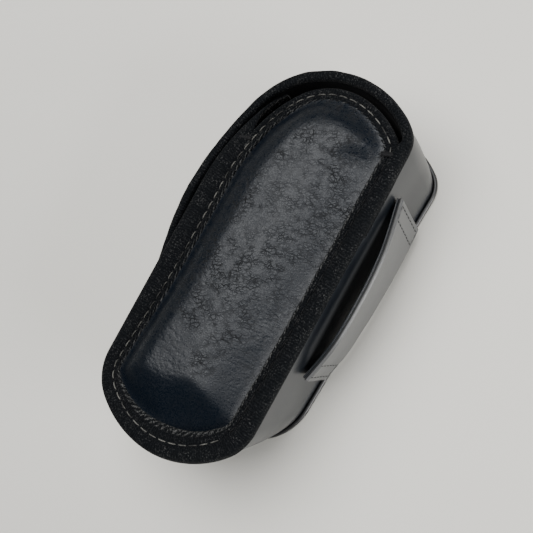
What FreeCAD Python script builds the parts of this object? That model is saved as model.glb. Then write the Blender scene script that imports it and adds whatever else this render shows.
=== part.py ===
import FreeCAD, Part
import math
import os
import Sketcher

# A moulded leather belt pouch, lying on its back. Millimetres, +Z up.
# +Y points to the mouth end, +X to the side that carries the belt loop, and the origin is the
# middle of the flat back. The front is one moulded panel whose top edge is not sewn: it flexes
# outwards about the line between its two bar tacks.

os.makedirs("parts", exist_ok=True)
doc = FreeCAD.newDocument("BeltPouch")

SIZES = {
    # Outline of the back and of the side wall's foot.
    "back_right": 26.4,
    "back_left": 26.4,
    "back_top": 57.0,
    "back_top_lean": 2.3,
    "back_top_bend": 33.0,
    "back_top_corner_right": 8.5,
    "back_top_corner_left": 18.0,
    "back_bottom": 52.5,
    "back_bottom_lean": -1.5,
    "back_bottom_bend": 34.0,
    "back_bottom_corner": 17.0,
    # Outline of the side wall's upper edge.
    "wall_right": 26.4,
    "wall_left": 26.4,
    "wall_top": 61.3,
    "wall_top_lean": 2.3,
    "wall_top_bend": 33.0,
    "wall_top_corner_right": 8.0,
    "wall_top_corner_left": 26.0,
    "wall_bottom": 61.8,
    "wall_bottom_lean": -2.2,
    "wall_bottom_bend": 34.0,
    "wall_bottom_corner": 14.5,
    # Outline of the front panel, which stops short of the wall at the mouth.
    "front_right": 26.8,
    "front_left": 27.8,
    "front_top": 56.4,
    "front_top_lean": 4.0,
    "front_top_bend": 28.7,
    "front_top_corner_right": 12.0,
    "front_top_corner_left": 60.0,
    "front_bottom": 62.6,
    "front_bottom_lean": -2.5,
    "front_bottom_bend": 34.0,
    "front_bottom_corner": 14.5,
    # Levels and thicknesses.
    "leather": 1.4,
    "cloth": 0.8,
    "board": 1.0,
    "wall_height": 27.2,
    "border_width": 7.0,
    "tape": 1.2,
    "tape_lap": 0.6,
    "crown_height": 7.0,
    "crown_round": 5.0,
    "lining_inset": 4.0,
    "thread": 0.6,
    "thread_inset": 4.4,
    "thread_height": 0.4,
    "tape_round": 0.7,
    "clearance": 0.3,
    # Cord round the back seam, just clear of the floor.
    "piping": 1.5,
    "piping_lift": 0.15,
    # The side wall leans out on the left, beside the mouth.
    "bulge_radius": 96.2,
    "bulge_reach": 5.3,
    "bulge_level": 8.0,
    "bulge_stop": 16.6,
    # Rolled tape over the free edge of the wall.
    "rim_lap": 0.3,
    "rim_rise": 1.6,
    "rim_left_end": -14.0,
    "rim_right_end": 46.0,
    # Line between the bar tacks, about which the top of the front flexes.
    "tack_span": 52.0,
    "tack_right_level": 47.0,
    "tack_left_level": 32.6,
    "flap_gap": 0.6,
    "flap_relief": 14.0,
    "tack_length": 6.0,
    "tack_width": 1.6,
    "tack_height": 1.0,
    "tack_gap": 1.0,
    # Belt loop on the right-hand wall.
    "loop_top": 34.0,
    "loop_bottom": -26.0,
    "loop_seat": 6.0,
    "loop_low": 4.0,
    "loop_high": 23.0,
    "loop_taper": 3.0,
    "loop_bow": 5.2,
    "loop_leather": 1.2,
    "loop_lining": 0.8,
    "stitch_run": 4.0,
    "stitch_margin": 1.6,
}
sheet = doc.addObject("Spreadsheet::Sheet", "Sizes")
for row, (alias, number) in enumerate(SIZES.items(), start=1):
    sheet.set("A%d" % row, alias)
    sheet.set("B%d" % row, str(number))
    sheet.setAlias("B%d" % row, alias)
doc.recompute()

PARTS = []
TOUCH = 0.01


def size(alias):
    return float(sheet.get(alias))


def terms(alias, inset):
    """Number and formula of one size, less the sizes of an inset. A leading + adds instead."""
    number = size(alias)
    formula = "Sizes." + alias
    for name in inset:
        if name.startswith("+"):
            number += size(name[1:])
            formula += " + Sizes." + name[1:]
        else:
            number -= size(name)
            formula += " - Sizes." + name
    return number, formula


def add(kind, name, **links):
    thing = doc.addObject(kind, name)
    for key, value in links.items():
        setattr(thing, key, value)
    return thing


def keep(thing, node):
    """Makes a finished object the sub-part of that name."""
    thing.Label = node
    PARTS.append(thing)
    return thing


def corner(side, lean, bend, corner_radius, level, up):
    """Centre of the corner arc that is tangent to a side line and to the end arc."""
    sign = math.copysign(1.0, side)
    centre_x = side - sign * corner_radius
    reach = abs(bend - corner_radius)
    rise = math.sqrt(reach ** 2 - (centre_x - lean) ** 2)
    if corner_radius > bend:
        rise = -rise
    return FreeCAD.Vector(centre_x, level + up * rise, 0)


def arc_between(centre, radius, start, end):
    return Part.ArcOfCircle(Part.Circle(centre, FreeCAD.Vector(0, 0, 1), radius), start, end)


def heading(centre, far_centre, outward):
    """Angle from one arc's centre to the point where it meets the next arc."""
    step = far_centre - centre
    if not outward:
        step = centre - far_centre
    return math.atan2(step.y, step.x)


def outline(name, shape, inset, level):
    """Sketch of a closed outline: two straight sides, two curved ends and four round corners."""
    value = {}
    formula = {}
    minus = {"top_lean": [], "bottom_lean": [], "top_corner_left": inset}
    for key in ("right", "left", "top", "bottom", "top_lean", "bottom_lean", "top_bend",
                "bottom_bend", "top_corner_right", "top_corner_left", "bottom_corner"):
        value[key], formula[key] = terms(shape + "_" + key, minus.get(key, inset))

    right, left = value["right"], -value["left"]
    top_centre = FreeCAD.Vector(value["top_lean"], value["top"] - value["top_bend"], 0)
    low_centre = FreeCAD.Vector(value["bottom_lean"], value["bottom_bend"] - value["bottom"], 0)
    top_right = corner(right, top_centre.x, value["top_bend"], value["top_corner_right"],
                       top_centre.y, 1)
    top_left = corner(left, top_centre.x, value["top_bend"], value["top_corner_left"],
                      top_centre.y, 1)
    low_left = corner(left, low_centre.x, value["bottom_bend"], value["bottom_corner"],
                      low_centre.y, -1)
    low_right = corner(right, low_centre.x, value["bottom_bend"], value["bottom_corner"],
                       low_centre.y, -1)
    large_left = value["top_corner_left"] > value["top_bend"]
    to_right = heading(top_centre, top_right, True)
    to_left = heading(top_centre, top_left, not large_left)
    from_left = heading(low_centre, low_left, True) % (2 * math.pi)
    from_right = heading(low_centre, low_right, True) % (2 * math.pi)

    sketch = doc.addObject("Sketcher::SketchObject", name)
    half, full = math.pi, 2 * math.pi
    sketch.addGeometry([
        Part.LineSegment(FreeCAD.Vector(right, low_right.y, 0), FreeCAD.Vector(right, top_right.y, 0)),
        arc_between(top_right, value["top_corner_right"], 0, to_right),
        arc_between(top_centre, value["top_bend"], to_right, to_left),
        arc_between(top_left, value["top_corner_left"], to_left, half),
        Part.LineSegment(FreeCAD.Vector(left, top_left.y, 0), FreeCAD.Vector(left, low_left.y, 0)),
        arc_between(low_left, value["bottom_corner"], half, from_left),
        arc_between(low_centre, value["bottom_bend"], from_left, from_right),
        arc_between(low_right, value["bottom_corner"], from_right, full),
    ], False)
    start, end, centre, axis, origin = 1, 2, 3, -1, 1
    for edge in range(8):
        sketch.addConstraint(Sketcher.Constraint("Tangent", edge, end, (edge + 1) % 8, start))
    sketch.addConstraint(Sketcher.Constraint("Vertical", 0))
    sketch.addConstraint(Sketcher.Constraint("Vertical", 4))
    sketch.addConstraint(Sketcher.Constraint("Equal", 5, 7))
    driven = [
        ("Radius", (1,), "top_corner_right"), ("Radius", (2,), "top_bend"),
        ("Radius", (3,), "top_corner_left"), ("Radius", (5,), "bottom_corner"),
        ("Radius", (6,), "bottom_bend"),
        ("DistanceX", (axis, origin, 0, start), "right"),
        ("DistanceX", (4, start, axis, origin), "left"),
    ]
    for kind, places, key in driven:
        index = sketch.addConstraint(Sketcher.Constraint(kind, *places, value[key]))
        sketch.renameConstraint(index, key)
        sketch.setExpression("Constraints." + key, formula[key])
    placed = [
        ("DistanceX", 2, top_centre.x, "top_lean", formula["top_lean"]),
        ("DistanceX", 6, low_centre.x, "bottom_lean", formula["bottom_lean"]),
        ("DistanceY", 2, top_centre.y, "top", formula["top"] + " - (" + formula["top_bend"] + ")"),
        ("DistanceY", 6, low_centre.y, "bottom",
         formula["bottom_bend"] + " - (" + formula["bottom"] + ")"),
    ]
    for kind, edge, number, key, text in placed:
        index = sketch.addConstraint(Sketcher.Constraint(kind, axis, origin, edge, centre, number))
        sketch.renameConstraint(index, key)
        sketch.setExpression("Constraints." + key, text)
    sketch.setExpression(".Placement.Base.z", level)
    return sketch


def plate(name, shape, inset, level, thickness):
    """Flat plate of an outline, from a level upwards."""
    sketch = outline(name + "_outline", shape, inset, level)
    body = add("Part::Extrusion", name, Base=sketch, DirMode="Custom", Solid=True)
    body.Dir = FreeCAD.Vector(0, 0, 1)
    body.setExpression("LengthFwd", thickness)
    return body


def loft(name, low, high):
    return add("Part::Loft", name, Sections=[low, high], Solid=True, Ruled=True)


def cut(name, base, tool):
    return add("Part::Cut", name, Base=base, Tool=tool)


def common(name, base, tool):
    return add("Part::Common", name, Base=base, Tool=tool)


def fuse(name, *pieces):
    return add("Part::MultiFuse", name, Shapes=list(pieces))


def rounded(name, base, radius, chosen):
    """Rounds the edges of a body that a test of the edge picks out."""
    doc.recompute()
    body = add("Part::Fillet", name, Base=base)
    body.Edges = [(number, radius, radius) for number, edge in enumerate(base.Shape.Edges, start=1)
                  if chosen(edge)]
    return body


def level_edge(level):
    """Test for an edge that lies flat at one level."""
    return lambda edge: all(abs(point.Z - level) < TOUCH for point in edge.Vertexes)


def box(name, corner_at, extent):
    body = doc.addObject("Part::Box", name)
    for key, text in zip(("Length", "Width", "Height"), extent):
        body.setExpression(key, text)
    for key, text in zip(("x", "y", "z"), corner_at):
        body.setExpression(".Placement.Base." + key, text)
    return body


FLOOR = "0"
WALL_FOOT = "Sizes.leather"
WALL_HEAD = "Sizes.leather + Sizes.wall_height"
PANEL_TOP = WALL_HEAD + " + Sizes.leather"
TAPE_TOP = PANEL_TOP + " + Sizes.tape"

# Back: leather, board and lining, flat and stacked.
keep(plate("Back", "back", [], FLOOR, "Sizes.leather"), "back_panel")
keep(plate("BackBoard", "back", ["leather", "cloth"], WALL_FOOT, "Sizes.board"), "back_board")
keep(plate("BackLining", "back", ["leather", "cloth"], WALL_FOOT + " + Sizes.board", "Sizes.cloth"),
     "back_lining")


def wall_block(name, inset):
    """Solid block inside one face of the side wall, with its lean beside the mouth."""
    straight = loft(name + "Straight",
                    outline(name + "Foot", "back", inset, WALL_FOOT),
                    outline(name + "Head", "wall", inset, WALL_HEAD))
    reach = terms("bulge_radius", inset)[1]
    lean = doc.addObject("Part::Cone", name + "Lean")
    lean.setExpression("Radius1", reach + " - Sizes.bulge_reach")
    lean.setExpression("Radius2", reach)
    lean.setExpression("Height", "Sizes.wall_height")
    lean.setExpression(".Placement.Base.x",
                       "Sizes.bulge_radius - Sizes.bulge_reach - Sizes.wall_left")
    lean.setExpression(".Placement.Base.y", "Sizes.bulge_level")
    lean.setExpression(".Placement.Base.z", WALL_FOOT)
    side = box(name + "Side", ("-2 * Sizes.wall_left", "-Sizes.wall_bottom", "0"),
               ("1.5 * Sizes.wall_left", "Sizes.wall_bottom + Sizes.wall_top - Sizes.bulge_stop",
                "2 * Sizes.wall_height"))
    return fuse(name, straight, common(name + "Crescent", lean, side))


# Side wall: leather outside, cloth inside.
outer = wall_block("WallOuter", [])
middle = wall_block("WallMiddle", ["leather"])
inner = wall_block("WallInner", ["leather", "cloth"])
keep(cut("Gusset", outer, middle), "gusset")
keep(cut("GussetLining", middle, inner), "gusset_lining")

# Back piping.
piping_outer = plate("PipingOuter", "back", ["+piping"], "Sizes.piping_lift", "Sizes.piping")
piping_inner = plate("PipingInner", "back", [], "Sizes.piping_lift", "Sizes.piping")
keep(cut("Piping", cut("PipingRing", piping_outer, piping_inner), outer), "back_piping")

# Front panel: a flat border and a moulded crown, with foam in the crown and cloth below.
border = plate("Border", "front", [], WALL_HEAD, "Sizes.leather")
crown_blank = plate("CrownBlank", "front", ["border_width"], WALL_HEAD, "Sizes.crown_height")
hollow_blank = plate("HollowBlank", "front", ["border_width", "leather"], WALL_HEAD,
                     "Sizes.crown_height - Sizes.leather")
wall_head = size("leather") + size("wall_height")
crown = rounded("Crown", crown_blank, size("crown_round"),
                level_edge(wall_head + size("crown_height")))
padding = rounded("Padding", hollow_blank, size("crown_round") - size("leather"),
                  level_edge(wall_head + size("crown_height") - size("leather")))
panel = cut("Panel", fuse("PanelBlank", border, crown), padding)
lining = plate("Lining", "front", ["lining_inset"], WALL_HEAD + " - Sizes.cloth", "Sizes.cloth")

# Ribbed tape: flat on the border, lapped down over its edge.
tape_outer = plate("TapeOuter", "front", ["+tape_lap"], WALL_HEAD, "Sizes.leather + Sizes.tape")
tape_shaped = rounded("TapeShaped", tape_outer, size("tape_round"),
                      level_edge(wall_head + size("leather") + size("tape")))
tape_hole = plate("TapeHole", "front", ["border_width"], WALL_HEAD, "2 * Sizes.crown_height")
tape = cut("Tape", cut("TapeOverBorder", tape_shaped, border), tape_hole)

# The front is one piece in life. The line between its bar tacks is where it bends.
tack_rise = size("tack_right_level") - size("tack_left_level")
bend_turn = math.degrees(math.asin(tack_rise / math.hypot(size("tack_span"), tack_rise)))
bend_middle = FreeCAD.Vector(0, (size("tack_right_level") + size("tack_left_level")) / 2, wall_head)
HALF_BLOCK = 100.0


def tack_block(name, end, width):
    """Block on the tape at one end of the bend: end is 1 for the right and -1 for the left."""
    block = doc.addObject("Part::Box", name)
    block.setExpression("Length", "Sizes.tack_length")
    block.setExpression("Width", width)
    block.setExpression("Height", "Sizes.tack_height")
    reach = end * (size("tack_span") - size("tack_length")) / 2
    offset = FreeCAD.Vector(reach - size("tack_length") / 2, -size("tack_width") - size("tack_gap"),
                            size("leather") + size("tape"))
    turn = FreeCAD.Rotation(FreeCAD.Vector(0, 0, 1), bend_turn)
    block.Placement = FreeCAD.Placement(bend_middle, turn) * FreeCAD.Placement(
        offset, FreeCAD.Rotation())
    return block


# Bar tacks: dense blocks of thread on the tape at both ends of the bend.
for name, end in (("Left", -1), ("Right", 1)):
    keep(tack_block("BarTack" + name, end, "Sizes.tack_width"), "bar_tack_" + name.lower())

# Stitch line along the tape, stopped at the bar tacks.
thread_outer = plate("ThreadOuter", "front", ["thread_inset"], TAPE_TOP, "Sizes.thread_height")
thread_inner = plate("ThreadInner", "front", ["thread_inset", "thread"], TAPE_TOP,
                     "Sizes.thread_height")
stops = [tack_block("ThreadStop" + name, end, "Sizes.tack_width + Sizes.tack_gap")
         for name, end in (("Left", -1), ("Right", 1))]
thread = cut("Thread", cut("ThreadRing", thread_outer, thread_inner), fuse("ThreadStops", *stops))

# Each layer of the front is parted at the bend, with a V of relief above it for the top part to
# turn in.

def bend_side(name, side):
    """Half space on one side of the bend: side is 1 for the flap and -1 for the rest."""
    turn = FreeCAD.Rotation(FreeCAD.Vector(0, 0, 1), bend_turn)
    tilt = FreeCAD.Rotation(FreeCAD.Vector(1, 0, 0), -side * size("flap_relief"))
    near = size("flap_gap") / 2 if side > 0 else -size("flap_gap") / 2 - 2 * HALF_BLOCK
    block = doc.addObject("Part::Box", name)
    block.Length = block.Width = block.Height = 2 * HALF_BLOCK
    start = FreeCAD.Placement(FreeCAD.Vector(-HALF_BLOCK, near, -HALF_BLOCK), FreeCAD.Rotation())
    block.Placement = FreeCAD.Placement(bend_middle, turn * tilt) * start
    return block


layers = [("panel", panel), ("padding", padding), ("lining", lining), ("binding", tape),
          ("thread", thread)]
for part_name, side in (("lower", -1), ("flap", 1)):
    half = bend_side("Side" + part_name.title(), side)
    for layer, whole in layers:
        name = "Front" + layer.title() + part_name.title()
        keep(common(name, whole, half), "front_%s_%s" % (layer, part_name))

# Rolled tape over the free edge of the wall, from the right tack round the top and down the left.
up = FreeCAD.Vector(0, 0, 1)
doc.recompute()
rim_outer = wall_block("RimOuter", ["+rim_lap"])
rim_inner = wall_block("RimInner", ["leather", "cloth", "rim_lap"])
doc.recompute()
edge_level = wall_head - TOUCH
rim_edges = [block.Shape.slice(up, edge_level)[0] for block in (rim_outer, rim_inner)]
rim_face = Part.Face(rim_edges[0]).cut(Part.Face(rim_edges[1]))
rim_face.translate(FreeCAD.Vector(0, 0, wall_head - edge_level))
rim = rim_face.extrude(FreeCAD.Vector(0, 0, size("rim_rise")))
front_space = plate("FrontSpace", "front", ["+tape_lap", "+clearance"], WALL_FOOT,
                    "Sizes.wall_height + Sizes.crown_height")
doc.recompute()
low_left = Part.makeBox(HALF_BLOCK, HALF_BLOCK, HALF_BLOCK,
                        FreeCAD.Vector(-HALF_BLOCK, size("rim_left_end") - HALF_BLOCK, 0))
low_right = Part.makeBox(HALF_BLOCK, 2 * HALF_BLOCK, HALF_BLOCK,
                         FreeCAD.Vector(0, size("rim_right_end") - 2 * HALF_BLOCK, 0))
for taken in (front_space.Shape, low_left, low_right):
    rim = rim.cut(taken)
rim_binding = add("Part::Feature", "RimBinding", Shape=rim)
keep(rim_binding, "rim_binding")

# Belt loop: a strap of two layers with both ends sewn flat to the wall, bowed between them.
LOOP_CENTRE = "(Sizes.loop_top + Sizes.loop_bottom) / 2"
loop_half = (size("loop_top") - size("loop_bottom")) / 2 - size("loop_seat")
loop_radius = (loop_half ** 2 + size("loop_bow") ** 2) / (2 * size("loop_bow"))
loop_thick = size("loop_leather") + size("loop_lining")
loop_axis = size("wall_right") + loop_thick + size("loop_bow") - loop_radius
taper = doc.addObject("Part::Box", "LoopTaper")
taper.Length = taper.Height = HALF_BLOCK
taper.Width = 2 * HALF_BLOCK
taper_turn = math.degrees(math.atan(size("loop_taper") / (size("loop_top") - size("loop_bottom"))))
taper.Placement = FreeCAD.Placement(
    FreeCAD.Vector(0, size("loop_top"), size("loop_low")),
    FreeCAD.Rotation(FreeCAD.Vector(1, 0, 0), -taper_turn)) * FreeCAD.Placement(
        FreeCAD.Vector(0, -HALF_BLOCK, -HALF_BLOCK), FreeCAD.Rotation())


def loop_round(name, inset):
    """Round block whose surface the bowed stretch follows, inset from the outer face."""
    body = doc.addObject("Part::Cylinder", name)
    body.Radius = loop_radius - inset
    body.setExpression("Height", "Sizes.loop_high")
    body.Placement.Base.x = loop_axis
    body.setExpression(".Placement.Base.y", LOOP_CENTRE)
    return body


def loop_layer(name, node, far, near):
    """One layer of the strap, between two depths below its outer face."""
    bowed = cut(name + "Bowed", loop_round(name + "Far", far), loop_round(name + "Near", near))
    window = box(name + "Window",
                 ("Sizes.wall_right", "Sizes.loop_bottom + Sizes.loop_seat", "0"),
                 ("Sizes.wall_right", "Sizes.loop_top - Sizes.loop_bottom - 2 * Sizes.loop_seat",
                  "Sizes.loop_high"))
    outer_face = "Sizes.wall_right + Sizes.loop_leather + Sizes.loop_lining - %g" % far
    seats = [box(name + "Seat" + end,
                 (outer_face + " - %g" % (near - far), level, "0"),
                 ("%g" % (near - far), "Sizes.loop_seat", "Sizes.loop_high"))
             for end, level in (("Top", "Sizes.loop_top - Sizes.loop_seat"),
                                ("Bottom", "Sizes.loop_bottom"))]
    whole = fuse(name + "Whole", common(name + "Span", bowed, window), *seats)
    return keep(cut(name, whole, taper), node)


loop_layer("LoopLeather", "belt_loop", 0.0, size("loop_leather"))
loop_layer("LoopLining", "belt_loop_lining", size("loop_leather"), loop_thick)

# Box stitches: a frame of thread on each sewn end.
seat_face = "Sizes.wall_right + Sizes.loop_leather + Sizes.loop_lining"
for end, level, low in (("upper", "Sizes.loop_top - Sizes.loop_seat", "Sizes.loop_low"),
                        ("lower", "Sizes.loop_bottom", "Sizes.loop_low + Sizes.loop_taper")):
    frame = box("StitchFrame" + end.title(),
                (seat_face, level + " + (Sizes.loop_seat - Sizes.stitch_run) / 2",
                 low + " + Sizes.stitch_margin"),
                ("Sizes.thread_height", "Sizes.stitch_run",
                 "Sizes.loop_high - (" + low + ") - 2 * Sizes.stitch_margin"))
    inside = box("StitchInside" + end.title(),
                 (seat_face, level + " + (Sizes.loop_seat - Sizes.stitch_run) / 2 + Sizes.thread",
                  low + " + Sizes.stitch_margin + Sizes.thread"),
                 ("Sizes.thread_height", "Sizes.stitch_run - 2 * Sizes.thread",
                  "Sizes.loop_high - (" + low + ") - 2 * Sizes.stitch_margin - 2 * Sizes.thread"))
    keep(cut("Stitches" + end.title(), frame, inside), "belt_loop_stitches_" + end)

doc.recompute()
for thing in doc.Objects:
    if "Invalid" in thing.State or "Error" in thing.State:
        raise RuntimeError("%s failed: %s" % (thing.Name, thing.State))
for thing in PARTS:
    if thing.Shape.isNull() or not thing.Shape.isValid() or thing.Shape.Volume <= 0:
        raise RuntimeError("%s has no valid solid" % thing.Label)
for thing in PARTS:
    thing.Shape.exportStep("parts/" + thing.Label + ".step")
    span = thing.Shape.optimalBoundingBox(False, False)
    print("%-26s solids %d volume %8.1f  x %6.1f %6.1f  y %6.1f %6.1f  z %5.1f %5.1f" % (
        thing.Label, len(thing.Shape.Solids), thing.Shape.Volume, span.XMin, span.XMax,
        span.YMin, span.YMax, span.ZMin, span.ZMax))
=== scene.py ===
import bpy
import math
import numpy as np
from mathutils import Matrix, Vector, noise


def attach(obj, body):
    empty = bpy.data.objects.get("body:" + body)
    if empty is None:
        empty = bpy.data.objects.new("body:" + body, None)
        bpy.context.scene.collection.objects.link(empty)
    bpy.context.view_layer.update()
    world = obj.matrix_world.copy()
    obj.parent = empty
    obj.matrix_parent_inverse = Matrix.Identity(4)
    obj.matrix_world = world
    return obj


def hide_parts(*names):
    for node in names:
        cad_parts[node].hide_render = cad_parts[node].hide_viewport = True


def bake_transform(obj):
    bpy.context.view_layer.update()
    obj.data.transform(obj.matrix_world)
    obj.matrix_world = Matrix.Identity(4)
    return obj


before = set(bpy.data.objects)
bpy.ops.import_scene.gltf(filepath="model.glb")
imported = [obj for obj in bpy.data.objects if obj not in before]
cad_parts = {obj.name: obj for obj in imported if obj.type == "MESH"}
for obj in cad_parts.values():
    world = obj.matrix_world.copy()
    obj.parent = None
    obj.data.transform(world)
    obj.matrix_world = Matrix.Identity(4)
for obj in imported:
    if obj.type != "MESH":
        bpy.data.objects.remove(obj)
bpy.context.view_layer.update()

# A moulded leather belt pouch lying on its back. Shapes are worked out in millimetres and become
# metres when a mesh is made. An outline runs from the lower right corner up the right side, round
# the top, down the left and round the bottom; a station of 0 to 8 says how far along it is.

MM = 0.001

BACK = {"right": 26.4, "left": 26.4, "top": 57.0, "bottom": 52.5, "top_lean": 2.3,
        "low_lean": -1.5, "top_bend": 33.0, "low_bend": 34.0, "corner_right": 8.5,
        "corner_left": 18.0, "corner_low": 17.0}
WALL = {"right": 26.4, "left": 26.4, "top": 61.3, "bottom": 61.8, "top_lean": 2.3,
        "low_lean": -2.2, "top_bend": 33.0, "low_bend": 34.0, "corner_right": 8.0,
        "corner_left": 26.0, "corner_low": 14.5}
FRONT = {"right": 26.8, "left": 27.8, "top": 56.4, "bottom": 62.6, "top_lean": 4.0,
         "low_lean": -2.5, "top_bend": 28.7, "low_bend": 34.0, "corner_right": 12.0,
         "corner_left": 60.0, "corner_low": 14.5}

# Stations round an outline, and the points on each of its eight stretches.
STATIONS = 8.0
POINT_COUNTS = (140, 40, 80, 60, 140, 50, 80, 50)

# Levels above the floor.
BACK_TOP = 1.4
WALL_HEAD = 28.6
BORDER_TOP = 30.0
CROWN = 5.5
# Keeps two faces that lie on each other apart.
GAP = 0.1

# Width of the tape round the leather, by station. It is widest down the left side.
TAPE_WIDTH = ((0.0, 7.0), (0.3, 6.2), (1.0, 5.8), (1.75, 4.6), (2.17, 4.6), (2.4, 3.9), (2.59, 4.0),
              (2.72, 5.1), (2.86, 6.9), (3.24, 7.9), (4.0, 9.2), (4.55, 8.8), (5.0, 6.8), (5.5, 6.4),
              (6.0, 7.4), (6.5, 9.0), (7.0, 7.9), (7.5, 7.2), (8.0, 7.0))
# From the leather's edge to the stitch line.
STITCH_INSET = ((0.0, 2.2), (5.5, 2.4), (6.0, 3.2), (6.5, 4.9), (7.0, 3.4), (7.4, 2.3), (8.0, 2.2))
# How the moulded front rises from its edge: the run in millimetres, and how early it rises.
RISE_RUN = ((0.0, 20.0), (1.0, 18.0), (1.6, 10.0), (2.0, 8.5), (2.6, 9.0), (3.1, 11.0),
            (4.0, 11.0), (5.2, 10.0), (5.8, 12.0), (6.3, 14.0), (6.9, 16.0), (7.5, 19.0),
            (8.0, 20.0))
RISE_EARLY = ((0.0, 1.25), (1.0, 1.3), (1.6, 1.7), (2.0, 1.8), (3.0, 1.6), (5.2, 1.6), (5.9, 1.3),
              (6.9, 1.2), (7.6, 1.2), (8.0, 1.25))

# The crown ends in a flat slope towards the low right corner, from a line across the front.
SLOPE_POINT = np.array([0.9, -38.6])
SLOPE_DOWN = np.array([0.487, -0.873])
SLOPE_RUN = 13.0

# The bend of the front, through the two bar tacks.
BEND_POINT = np.array([0.0, 39.8, 28.6])
BEND_ALONG = np.array([0.96373, 0.26688, 0.0])
BEND_ACROSS = np.array([-0.26688, 0.96373, 0.0])

# Stations on the front's outline: the ends of the mouth, and the ends of the outer tape.
MOUTH_RIGHT = 1.35
MOUTH_LEFT = 3.24
TAPE_START = 1.75
TIP = 2.80


# ---- outlines ----

def arc(centre, radius, start, end, count):
    angle = np.linspace(start, end, count, endpoint=False)
    direction = np.stack([np.cos(angle), np.sin(angle)], axis=1)
    return centre + radius * direction, direction


def straight(start, end, normal, count):
    share = np.linspace(0.0, 1.0, count, endpoint=False)[:, None]
    points = start + share * (end - start)
    return points, np.repeat(np.array([normal]), count, axis=0)


def corner_centre(side, end_centre, bend, radius, up):
    """Centre of a corner arc that is tangent to one side and to the arc of one end."""
    x = side - math.copysign(radius, side)
    rise = math.sqrt((bend - radius) ** 2 - (x - end_centre[0]) ** 2)
    if radius > bend:
        rise = -rise
    return np.array([x, end_centre[1] + up * rise])


def angle_of(step):
    return math.atan2(step[1], step[0])


def outline(shape):
    """Points, outward normals and stations of a closed outline."""
    right, left = shape["right"], -shape["left"]
    top = np.array([shape["top_lean"], shape["top"] - shape["top_bend"]])
    low = np.array([shape["low_lean"], shape["low_bend"] - shape["bottom"]])
    top_right = corner_centre(right, top, shape["top_bend"], shape["corner_right"], 1)
    top_left = corner_centre(left, top, shape["top_bend"], shape["corner_left"], 1)
    low_left = corner_centre(left, low, shape["low_bend"], shape["corner_low"], -1)
    low_right = corner_centre(right, low, shape["low_bend"], shape["corner_low"], -1)
    to_right = angle_of(top_right - top)
    to_left = angle_of(top_left - top)
    if shape["corner_left"] > shape["top_bend"]:
        to_left = angle_of(top - top_left)
    from_left = angle_of(low_left - low) % (2 * math.pi)
    from_right = angle_of(low_right - low) % (2 * math.pi)
    parts = [
        straight(np.array([right, low_right[1]]), np.array([right, top_right[1]]), (1.0, 0.0),
                 POINT_COUNTS[0]),
        arc(top_right, shape["corner_right"], 0.0, to_right, POINT_COUNTS[1]),
        arc(top, shape["top_bend"], to_right, to_left, POINT_COUNTS[2]),
        arc(top_left, shape["corner_left"], to_left, math.pi, POINT_COUNTS[3]),
        straight(np.array([left, top_left[1]]), np.array([left, low_left[1]]), (-1.0, 0.0),
                 POINT_COUNTS[4]),
        arc(low_left, shape["corner_low"], math.pi, from_left, POINT_COUNTS[5]),
        arc(low, shape["low_bend"], from_left, from_right, POINT_COUNTS[6]),
        arc(low_right, shape["corner_low"], from_right, 2 * math.pi, POINT_COUNTS[7]),
    ]
    points = np.concatenate([part[0] for part in parts])
    normals = np.concatenate([part[1] for part in parts])
    stations = np.concatenate([number + np.arange(count) / count
                               for number, count in enumerate(POINT_COUNTS)])
    return points, normals, stations


def by_station(table, stations):
    """A size from a table of stations, in straight lines between its rows."""
    at, value = np.array(table).T
    return np.interp(np.asarray(stations) % STATIONS, at, value)


def eased(table, stations, reach=0.12):
    """by_station, averaged over a short reach, so that it has no kinks."""
    shifts = np.linspace(-reach, reach, 9)
    return np.mean([by_station(table, np.asarray(stations) + shift) for shift in shifts], axis=0)


def run_length(points, closed):
    steps = np.linalg.norm(np.diff(points, axis=0), axis=1)
    if closed:
        steps = np.append(steps, np.linalg.norm(points[0] - points[-1]))
    return np.concatenate([[0.0], np.cumsum(steps)])


def flat_normals(points, closed):
    """Outward normals of a flat line of points that runs anticlockwise."""
    if closed:
        along = np.roll(points, -1, axis=0) - np.roll(points, 1, axis=0)
    else:
        along = np.gradient(points, axis=0)
    along = along / np.linalg.norm(along, axis=1)[:, None]
    return np.stack([along[:, 1], -along[:, 0]], axis=1)


def smooth_step(share):
    share = np.clip(share, 0.0, 1.0)
    return share * share * (3.0 - 2.0 * share)


def lumps(points, scale, seed):
    """Smooth noise from -1 to 1 at each point; scale is lumps per millimetre on each axis."""
    offset = Vector((seed * 17.3, seed * 5.1, seed * 11.7))
    scaled = np.asarray(points) * np.asarray(scale)
    return np.array([noise.noise(Vector(point) + offset) for point in scaled])


# ---- meshes ----

def make_object(name, vertices, faces, corner_uv=None):
    """Smooth-shaded object from vertices in millimetres."""
    mesh = bpy.data.meshes.new(name)
    if isinstance(faces, np.ndarray):
        faces = faces.tolist()
    mesh.from_pydata((np.asarray(vertices) * MM).tolist(), [], faces)
    if corner_uv is not None:
        layer = mesh.uv_layers.new(name="run")
        layer.data.foreach_set("uv", np.asarray(corner_uv, dtype=np.float32).ravel())
    mesh.polygons.foreach_set("use_smooth", [True] * len(mesh.polygons))
    mesh.update()
    thing = bpy.data.objects.new(name, mesh)
    bpy.context.scene.collection.objects.link(thing)
    return thing


def grid_faces(rows, columns, wrap_rows, wrap_columns):
    """Faces of a grid, with the row and column of each corner before wrapping."""
    row_count = rows if wrap_rows else rows - 1
    column_count = columns if wrap_columns else columns - 1
    row, column = np.meshgrid(np.arange(row_count), np.arange(column_count), indexing="ij")
    row, column = row.ravel(), column.ravel()
    corner_row = np.stack([row, row, row + 1, row + 1], axis=1)
    corner_column = np.stack([column, column + 1, column + 1, column], axis=1)
    faces = (corner_row % rows) * columns + corner_column % columns
    return faces, corner_row, corner_column


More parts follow.
